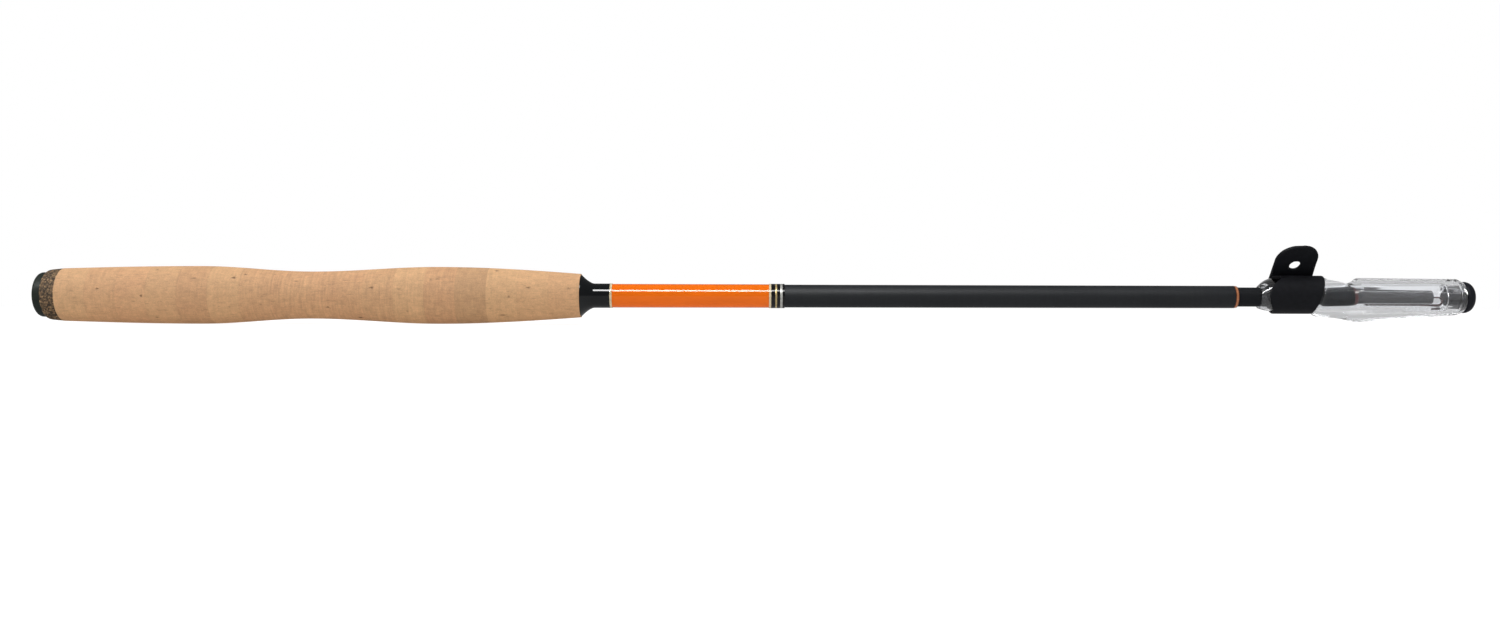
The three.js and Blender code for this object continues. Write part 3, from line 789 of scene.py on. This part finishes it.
def smooth_route(route, steps):
    """A curve through the points of a route: a Hermite cubic between each two, whose slope at a
    point is the chord between its neighbours, weighted by how far away they are."""
    chord = np.linalg.norm(np.diff(route, axis=0), axis=1)
    knots = np.concatenate([[0], np.cumsum(chord)])
    slope = np.gradient(route, knots, axis=0)
    along = np.linspace(0, knots[-1], steps)
    i = np.clip(np.searchsorted(knots, along, side="right") - 1, 0, len(route) - 2)
    h = chord[i][:, None]
    t = (along - knots[i])[:, None] / h
    return (
        (2 * t**3 - 3 * t**2 + 1) * route[i] + (t**3 - 2 * t**2 + t) * h * slope[i]
        + (3 * t**2 - 2 * t**3) * route[i + 1] + (t**3 - t**2) * h * slope[i + 1]
    )


def swept(name, path, radius, sides=24, relief=None, side_axis=(0, 1, 0)):
    """A round cord along a path: circles across the path's direction, and a pole at both ends.
    side_axis is a direction that the path never takes."""
    forward = np.gradient(path, axis=0)
    forward /= np.linalg.norm(forward, axis=1, keepdims=True)
    across = np.cross(forward, np.asarray(side_axis, float))
    across /= np.linalg.norm(across, axis=1, keepdims=True)
    upward = np.cross(across, forward)
    angle = np.linspace(0, 2 * np.pi, sides, endpoint=False)[None, :, None]
    step = np.linalg.norm(np.diff(path, axis=0), axis=1)
    length = np.concatenate([[0], np.cumsum(step)])[:, None, None]
    reach = radius if relief is None else radius + relief(length, angle)
    skin = path[:, None] + reach * (across[:, None] * np.cos(angle) + upward[:, None] * np.sin(angle))
    ends = [np.repeat(path[end][None, None], sides, 1) for end in (0, -1)]
    return surface(name, np.concatenate([ends[0], skin, ends[1]]), crease=60)


def braid(length, angle):
    """Relief of a hollow braid of eight strands, four each way round, over and under."""
    turn = length * 2 * np.pi / (1.5 * mm)
    strands = np.maximum(np.cos(4 * angle + turn), np.cos(4 * angle - turn))
    return 0.05 * mm * (strands - 1)


def overhand_knot(centre):
    """A trefoil, (sin t + 2 sin 2t, cos t - 2 cos 2t, -sin 3t), drawn tight along the cord."""
    t = np.linspace(0, 2 * np.pi, 121)
    shape = [np.sin(t) + 2 * np.sin(2 * t), np.cos(t) - 2 * np.cos(2 * t), -np.sin(3 * t)]
    return centre + np.stack(shape, 1) * np.array([0.2, 0.13, 0.2]) * mm


braided_red = finish("braided_red", Roughness=0.7, Sheen_Weight=0.3, Sheen_Roughness=0.5)
coloured(braided_red, (0.045, 0.008, 0.01, 1), grain(braided_red, 0.6, 1.3, 3000, 3000))
lillian_path = smooth_route(lillian_route, 300)
lillian = swept("lillian_braid", lillian_path, lillian_radius, relief=braid)
dress(lillian, braided_red, "tip", "red_braid", "lillian")
knot_centre = lillian_route[-1] - [0.9 * mm, 0, 0]
knot_path = overhand_knot(knot_centre)[:-1]
knot_loop = np.vstack([knot_path, knot_path[:1]])
knot = swept("lillian_knot_tied", knot_loop, 0.26 * mm, side_axis=(0.31, 0.23, 0.92))
dress(knot, braided_red, "tip", "red_braid", "lillian_knot")


# Butt cap: turned aluminium, painted satin black, screwed into the insert. A coin fits the
# notches in its rim. A rubber ring seals it, and a foam rubber pad in it stops the sections.
cap_radius = 9.3 * mm
cap_edge = 1.5 * mm
dish_radius = 5.4 * mm
notch_width = 2 * mm
cup_radius = 4.8 * mm
cup_floor = 2.2 * mm
cap_rim = stations("butt_cap")[0]
cap_shoulder = cap_rim + 3.8 * mm
cap_stem_end = stations("butt_cap")[1]


def butt_cap():
    """Turned outline with the stem's thread. Across the rim the circles bend to follow the two
    parallel flanks of the coin slot, and between these the rim drops to the dish."""
    lines = 3
    quarter = 60
    stem_radius = thread_radius - 0.02 * mm
    rim_top = dish_radius + 0.4 * mm
    turn = np.linspace(0, np.pi / 2, 12)
    edge = np.stack([
        cap_rim + cap_edge * (1 - np.sin(turn)), cap_radius - cap_edge * (1 - np.cos(turn)),
    ], 1)[::-1]
    face = np.linspace(rim_top, cap_radius - cap_edge, 8)
    stem = np.linspace(cap_shoulder, cap_stem_end, 110)
    outline = np.vstack([
        [[0, 0], [0, dish_radius * 0.5], [0, dish_radius * 0.96], [-0.03 * mm, dish_radius]],
        [[cap_rim + 0.06 * mm, rim_top - 0.05 * mm]],
        np.stack([cap_rim + 0 * face, face], 1),
        edge[1:],
        [[cap_shoulder - 0.15 * mm, cap_radius], [cap_shoulder, cap_radius - 0.15 * mm]],
        [[cap_shoulder, thread_radius + 0.4 * mm]],
        np.stack([stem, stem_radius + 0 * stem], 1),
        [[cap_stem_end, cup_radius + 0.2 * mm], [cap_stem_end - 0.2 * mm, cup_radius]],
        [[cup_floor + 0.3 * mm, cup_radius], [cup_floor, cup_radius - 0.3 * mm], [cup_floor, 0]],
    ])
    station, radius = outline[:, :1], outline[:, 1:]
    flank = np.arcsin(np.clip(notch_width / 2 / np.maximum(radius, 2 * mm), 0, 1))
    past_rim = np.arcsin(notch_width / 2 / cap_radius)
    flank = np.where(station < cap_rim + cap_edge + 0.1 * mm, flank, past_rim)
    inner = np.linspace(0, 1, lines + 1)
    beside = np.linspace(0, 1, quarter)
    angle = np.concatenate([
        flank * inner[:-1], flank + (np.pi / 2 - flank) * beside[:-1],
    ], 1)
    step = 0.03 * mm / np.maximum(radius, 2 * mm)
    angle[:, lines:lines + 1] -= step
    angle[:, lines + 1:lines + 2] = flank + step
    depth_half = np.concatenate([np.ones(lines + 1), np.zeros(quarter - 2)])
    mirrored = np.pi - angle[:, ::-1]
    angle = np.concatenate([angle, np.full_like(radius, np.pi / 2), mirrored], 1)
    angle = np.concatenate([angle, angle + np.pi], 1)
    keep = np.ones(angle.shape[1], bool)
    keep[angle.shape[1] // 2] = False
    keep[-1] = False
    half = np.concatenate([depth_half, [0], depth_half[::-1]])
    slot = np.concatenate([half, half])
    angle, slot = angle[:, keep], slot[keep]
    dropped = np.where((slot > 0) & (radius > dish_radius - 0.1 * mm) & (station < 0), 0.0, station)
    threaded = np.isclose(radius, stem_radius)
    start = cap_shoulder + 0.6 * mm
    lift = ridge(station, angle, start, cap_stem_end - 0.1 * mm)
    radius = radius - threaded * thread_depth * (1 - lift) * (station > start - 0.3 * mm)
    return surface("butt_cap", circles(dropped, radius, angle), crease=40)


def satin_black(name, colour, roughness, gloss, tooth_depth):
    """Satin black: a little mottle, and a fine tooth in the gloss."""
    made = finish(name, Roughness=roughness, Specular_IOR_Level=gloss)
    coloured(made, colour, grain(made, 0.85, 1.15, 500, 500))
    feed(made, "Roughness", grain(made, roughness - 0.06, roughness + 0.08, 900, 900))
    roughened(made, grain(made, 0, 1, 2400, 2400), tooth_depth)
    return made


black_paint = satin_black("satin_black_paint", (0.0225, 0.028, 0.0235, 1), 0.44, 0.1, 0.004 * mm)
black_rubber = satin_black("black_rubber", (0.018, 0.018, 0.02, 1), 0.6, 0.2, 0.012 * mm)
dress(butt_cap(), black_paint, "butt_screw", "black_metal")

seal_rear, seal_front = stations("butt_cap_seal")
seal_radius = (seal_front - seal_rear) / 2
seal_turn = np.linspace(0, 2 * np.pi, 25)[:-1]
seal_outline = np.stack([
    (seal_rear + seal_front) / 2 - seal_radius * np.cos(seal_turn),
    thread_radius + thread_clearance + seal_radius + seal_radius * np.sin(seal_turn),
], 1)
dress(turned("butt_cap_seal", seal_outline), black_rubber, "butt_seal", "black_rubber")

pad_rear, pad_front = stations("shock_pad")
pad_radius = 4.65 * mm
pad_outline = [[pad_rear, 0], [pad_rear, pad_radius], [pad_front, pad_radius], [pad_front, 0]]
pad = turned("shock_pad", softened(pad_outline, 0.35 * mm, ring=False), sides=96, ring=False)
dress(pad, black_rubber, "butt_screw", "black_rubber")


# Clear cap: one moulding of clear plastic that slips over the mouth of section 2. Its rear is a
# round sleeve that the strap sits on, and its front a six-sided body whose lip holds the plug.
cap_sides = 180
cap_bore = 5.1 * mm
cap_mouth_bore = 4.75 * mm
plug_groove = 4.6 * mm
plug_flange = 5.9 * mm
plug_spigot = 3.9 * mm
hex_flat_share = 0.91
cap_rear, cap_front = stations("clear_cap")
cap_seat = cap_rear + 4.6 * mm
cap_step = cap_seat + 19.9 * mm
mouth_2 = stations("section_2")[1]
plug_rear = stations("cap_end_plug")[0]
flange_rear = plug_rear + 5.3 * mm
flange_front = flange_rear + 0.9 * mm
cap_nose = cap_front - 2.1 * mm


def clear_cap():
    """Rows of station, centre height, radius, how six-sided and how far the top leans forward.
    A six-sided row is the softer minimum of a circle and of six flats across the same middle."""
    waist = mouth_2 - 1.9 * mm
    tail = cap_step + (waist - cap_step) * 0.78
    lean = 2.5 * mm
    rise = np.linspace(0, 1, 9)
    dome = np.stack([
        cap_rear + (cap_seat + 1.2 * mm - cap_rear) * rise,
        1 * mm * (1 - (1 - rise) ** 2),
        4.75 * mm + 2.15 * mm * (1 - (1 - rise) ** 2),
        0 * rise, 0 * rise,
    ], 1)
    skin = np.vstack([
        dome,
        [[cap_step, 1 * mm, 6.9 * mm, 0, lean],
         [cap_step + 0.6 * mm, 0.3 * mm, 7.72 * mm, 0, lean],
         [cap_step + 1.8 * mm, -0.3 * mm, 7.72 * mm, 0, lean],
         [tail, -1.26 * mm, 7.72 * mm, 0, 0],
         [waist, -2.1 * mm, 7.6 * mm, 0, 0],
         [mouth_2 + 1.9 * mm, -1.2 * mm, 9.3 * mm, 1, 0],
         [cap_nose, 0.15 * mm, 7.55 * mm, 1, 0],
         [cap_nose + 1.155 * mm, 0.075 * mm, 6.975 * mm, 0.5, 0],
         [cap_front, 0, 6.4 * mm, 0, 0]],
    ])
    gap = 0.1 * mm
    bore = np.array([
        [cap_front, plug_groove + gap], [flange_front + gap, plug_groove + gap],
        [flange_front + gap, plug_flange + gap], [flange_rear - gap, plug_flange + gap],
        [flange_rear - gap, plug_spigot + gap], [plug_rear - 0.3 * mm, plug_spigot + gap],
        [plug_rear - 0.3 * mm, cap_bore], [cap_seat, cap_bore],
        [cap_rear + 1.84 * mm, cap_mouth_bore], [cap_rear + 0.3 * mm, cap_mouth_bore - 0.3 * mm],
        [cap_rear, cap_mouth_bore - 0.3 * mm],
    ])
    bore = np.stack([bore[:, 0], 0 * bore[:, 0], bore[:, 1], 0 * bore[:, 0], 0 * bore[:, 0]], 1)
    rows = np.vstack([skin, bore])
    cut = np.full(len(rows), 0.3 * mm)
    cut[len(dome) + 1:len(dome) + 3] = 0.9 * mm
    cut[len(dome) + 3:len(dome) + 5] = 2.5 * mm
    rows = softened(rows, cut, steps=8)
    station, height, radius, six, lean_by = rows.T[:, :, None]
    angle = all_round(cap_sides)
    across = np.mod(angle, np.pi / 3) - np.pi / 6
    flat = radius * hex_flat_share / np.cos(across)
    blunt = 0.2 * mm
    reach = radius - blunt * np.log1p(np.exp((radius - flat) / blunt)) * six
    grid = circles(station + lean_by * np.cos(angle), reach, angle, height)
    return surface("clear_cap", grid, ring=True, crease=50)


clear = finish("clear_plastic", Base_Color=(0.93, 0.94, 0.96, 1), Roughness=0.0, IOR=1.22,
               Transmission_Weight=1.0, Coat_Weight=1.0, Coat_Roughness=0.0, Coat_IOR=1.48)
# The sleeve between the strap and the six-sided body has a duller face than the rest.
past_middle = worked(clear, "SUBTRACT", station_on(clear), (cap_step + mouth_2) / 2)
sleeve_half = (mouth_2 - cap_step) / 2
polish = ranged(clear, worked(clear, "ABSOLUTE", past_middle),
                sleeve_half - 2 * mm, sleeve_half + 2 * mm, 0.15, 1.0)
feed(clear, "Coat Weight", polish)
roughened(clear, grain(clear, 0, 1, 120, 260, detail=1), 0.008 * mm)
cap_shell = dress(clear_cap(), clear, "tip_cap", "clear_plastic")


# End plug: a black rubber stopper. Its flange snaps past the clear cap's lip into a groove, and
# only the dome stands out.
def cap_end_plug():
    """A spigot, a flange and a neck with soft corners, and a dome: its stations go by sin t and
    its radii by (cos t) to the power 0.6."""
    head_rear = cap_front + 0.1 * mm
    head_length = 4.6 * mm
    head_radius = 6.55 * mm
    turn = np.linspace(0, np.pi / 2, 30)[:-1]
    dome = np.stack([
        head_rear + head_length * (0.15 + 0.85 * np.sin(turn)), head_radius * np.cos(turn) ** 0.6,
    ], 1)
    corners = [
        [plug_rear, 0], [plug_rear, plug_spigot], [flange_rear, plug_spigot],
        [flange_rear, plug_flange], [flange_front, plug_flange], [flange_front, plug_groove],
        [head_rear, plug_groove], [head_rear, head_radius * 0.96],
    ]
    line = np.vstack([corners, dome, [[head_rear + head_length, 0]]])
    cut = np.full(len(line), 0.2 * mm)
    cut[9:] = sharp
    return turned("cap_end_plug", softened(line, cut, ring=False), sides=160, ring=False)


plug_rubber = satin_black("plug_rubber", (0.013, 0.0135, 0.018, 1), 0.42, 0.12, 0.004 * mm)
dress(cap_end_plug(), plug_rubber, "tip_cap", "plug_rubber")


# Strap: black rubber, moulded as a band with a tongue to pull on, stretched over the clear cap.
# The tongue leaves the back of the band, and comes up and forward over the top.
strap_height = 1 * mm
strap_inner = 7 * mm
strap_wall = 1 * mm
strap_width = 18.5 * mm
strap_front = cap_step - 0.3 * mm
strap_rear = strap_front - strap_width
strap_lobe = 3.3 * mm
strap_notch = 3.4 * mm
strap_lean = 2.3 * mm


def strap_band():
    """A band whose rear edge dips forward on top and runs back in a lobe towards the viewer:
    rear = middle - lobe sin^2 a + notch cos^6 (a - 20 degrees), a being measured from the top."""
    rows = 40
    angle = all_round(160)
    rear = (strap_rear - strap_lobe * np.maximum(0, np.sin(angle)) ** 2
            + strap_notch * np.maximum(0, np.cos(angle - np.pi / 9)) ** 6)
    front = strap_front + strap_lean * np.cos(angle)
    share = np.concatenate([np.linspace(0, 1, rows), np.linspace(1, 0, rows)])[:, None]
    radius = np.repeat([strap_inner + strap_wall, strap_inner], rows)[:, None]
    grid = circles(rear + (front - rear) * share, radius, angle, strap_height)
    return surface("strap_band", grid, ring=True)


tongue_length = 20 * mm
tongue_half_width = 9 * mm
tongue_thickness = 1.4 * mm
tongue_corner = 7.6 * mm
tongue_hole = 2.3 * mm
tongue_hole_at = 9.6 * mm
tongue_leave = math.radians(47.5)
tongue_twist = 0.055


def strap_tongue():
    """A plate between two outlines: rays from the hole's centre run from its rim to the edge, a
    rectangle with two round corners. The plate leaves the band along a tangent, bulges a little
    along its length, and twists by a few degrees from its root to its tip."""
    ray = np.linspace(0, 2 * np.pi, 200, endpoint=False)
    direction = np.stack([np.cos(ray), np.sin(ray)], 1)
    reach = np.linspace(0, 30 * mm, 3001)[:, None]
    trial = np.array([0, tongue_hole_at]) + reach[..., None] * direction[None]
    across, length = np.abs(trial[..., 0]), trial[..., 1]
    inside = (across < tongue_half_width) & (length > 0) & (length < tongue_length)
    past = np.array([across - tongue_half_width, length - tongue_length]) + tongue_corner
    inside &= np.hypot(*np.maximum(past, 0)) < tongue_corner
    edge = reach[:, 0][np.argmin(inside, 0) - 1]
    share = np.linspace(0, 1, 26)[:, None]
    distance = tongue_hole + (edge - tongue_hole) * share
    across = distance * direction[:, 0]
    length = tongue_hole_at + distance * direction[:, 1]
    half = np.full_like(across, tongue_thickness / 2)
    across, length = (np.vstack([face, face[::-1]])[..., None] for face in (across, length))
    height = np.vstack([half, -half])[..., None]
    height = height + 0.35 * mm * np.sin(np.pi * length / tongue_length)
    forward = np.array([0, -math.cos(tongue_leave), math.sin(tongue_leave)])
    outward = np.array([0, math.sin(tongue_leave), math.cos(tongue_leave)])
    twist = tongue_twist * np.clip(length / tongue_hole_at, 0, 1)
    wide = np.array([1.0, 0, 0]) + twist * np.array([0, 0.7, 0.7])
    middle = np.array([(strap_rear + strap_front) / 2, 0, strap_height])
    root = middle + (strap_inner + tongue_thickness / 2) * outward
    grid = root + wide * across + forward * length + outward * height
    return surface("strap_tongue", grid, ring=True)


strap_pieces = [strap_band(), strap_tongue()]
bpy.ops.object.select_all(action="DESELECT")
for part in strap_pieces:
    part.select_set(True)
strap = strap_pieces[0]
bpy.context.view_layer.objects.active = strap
bpy.ops.object.join()
strap.name = "cap_strap"
remesh = strap.modifiers.new("moulded", "REMESH")
remesh.mode = "VOXEL"
remesh.voxel_size = 0.2 * mm
remesh.use_smooth_shade = True
soften_strap = strap.modifiers.new("fillets", "SMOOTH")
soften_strap.factor = 0.5
soften_strap.iterations = 14
bpy.context.view_layer.update()
evaluated = strap.evaluated_get(bpy.context.evaluated_depsgraph_get())
strap_mesh = bpy.data.meshes.new_from_object(evaluated)
strap.modifiers.clear()
strap.data = strap_mesh
strap.data.name = "cap_strap"
strap_rubber = satin_black("strap_rubber", (0.0085, 0.009, 0.0115, 1), 0.5, 0.14, 0.01 * mm)
dress(strap, strap_rubber, "tip_cap", "strap_rubber")


# Floor, sky and lamps. White board carries the grip's two swells. The sky is white to the camera,
# greyer higher up through the clear cap, and dark where the rod mirrors it. Two lamps light matt
# surfaces, a strip gives the gleam along the rod, and a panel at the end the clear cap's rim.
floor_height = -12.05 * mm
floor_half = (1.3, 0.8)
key_distance = 1.1
key_height = math.radians(52)
key_size = (2.4, 0.2)
key_power = 4.6
gleam_distance = 1.0
gleam_size = (1.31, 0.27)
gleam_shift = -0.59
gleam_power = 22.0
end_distance = 0.12
end_height = 0.25
end_shift = 0.9
end_size = (0.3, 0.5)
end_power = 8.0
top_size = (2.0, 1.2)
top_distance = 1.5
top_power = 17.0

floor_mesh = bpy.data.meshes.new("floor")
floor_corners = np.array([[-1, -1], [1, -1], [1, 1], [-1, 1]]) * floor_half
floor_mesh.from_pydata(
    [(camera_station + x, y, floor_height) for x, y in floor_corners.tolist()], [], [(0, 1, 2, 3)])
floor = placed("floor", floor_mesh)


def by_ray(made, camera, through, mirrored, rest):
    """A level for each kind of ray: straight from the camera, through or off the clear cap, which
    is the only sharp gloss, mirrored by another gloss, and the rest, which light matt surfaces."""
    path = node(made, "ShaderNodeLightPath", {})
    level = rest
    for kind, wanted in (("Is Glossy Ray", mirrored), ("Is Singular Ray", through),
                         ("Diffuse Depth", rest), ("Is Camera Ray", camera)):
        share = worked(made, "MINIMUM", path.outputs[kind], 1.0)
        mix = node(made, "ShaderNodeMix", {"Factor": share, "A": level, "B": wanted})
        level = mix.outputs["Result"]
    return level


def white_board():
    """White board that partly glows by itself, so that its shadows are light."""
    made = bpy.data.materials.new("white_board")
    made.use_nodes = True
    made.node_tree.nodes.clear()
    matt = node(made, "ShaderNodeBsdfDiffuse", {"Color": (0.9, 0.9, 0.9, 1)})
    glow = node(made, "ShaderNodeEmission", {"Strength": by_ray(made, 1.2, 0.62, 0.35, 0.75)})
    share = by_ray(made, 0.7, 1.0, 1.0, 0.5)
    mix = node(made, "ShaderNodeMixShader", {0: share, 1: matt.outputs[0], 2: glow.outputs[0]})
    node(made, "ShaderNodeOutputMaterial", {"Surface": mix.outputs[0]})
    return made


floor.data.materials.append(white_board())

world = bpy.data.worlds.new("sky")
world.use_nodes = True
bpy.context.scene.world = world
world.node_tree.nodes.clear()
direction = node(world, "ShaderNodeTexCoord", {}).outputs["Generated"]
height_share = node(world, "ShaderNodeSeparateXYZ", {"Vector": direction}).outputs["Z"]
low_bright = ranged(world, height_share, 0.05, 0.3, 0.95, 0.55)
sky = node(world, "ShaderNodeBackground", {
    "Color": (1, 1, 1, 1), "Strength": by_ray(world, 1.0, low_bright, 0.1, 0.4),
})
node(world, "ShaderNodeOutputWorld", {"Surface": sky.outputs[0]})


def lamp(name, distance, height, size, power, shift=0.0, turn=0.0, diffuse=True, glossy=True,
         only=None):
    """A rectangular lamp with its long side along the rod, at a distance and an angle above the
    viewer's side, pointing at the rod, or turned to look along it. It may be left out of what matt
    surfaces receive, or of what glossy ones mirror, or light one piece alone."""
    data = bpy.data.lights.new(name, "AREA")
    data.shape = "RECTANGLE"
    data.size, data.size_y = size
    data.energy = power
    made = placed(name, data)
    made.location = (
        camera_station + shift, -distance * math.cos(height), distance * math.sin(height),
    )
    made.rotation_euler = (math.pi / 2 - height, 0, turn)
    made.visible_camera = False
    made.visible_diffuse = diffuse
    made.visible_glossy = glossy
    if only:
        lit = bpy.data.collections.new(name + "_lights")
        lit.objects.link(only)
        made.light_linking.receiver_collection = lit


lamp("key_strip", key_distance, key_height, key_size, key_power, glossy=False)
lamp("gleam_strip", gleam_distance, key_height, gleam_size, gleam_power, gleam_shift, diffuse=False)
lamp("end_panel", end_distance, end_height, end_size, end_power, end_shift, math.pi / 2,
     diffuse=False, only=cap_shell)
lamp("top_panel", top_distance, math.pi / 2, top_size, top_power, glossy=False)

bpy.context.scene.view_settings.view_transform = "Standard"
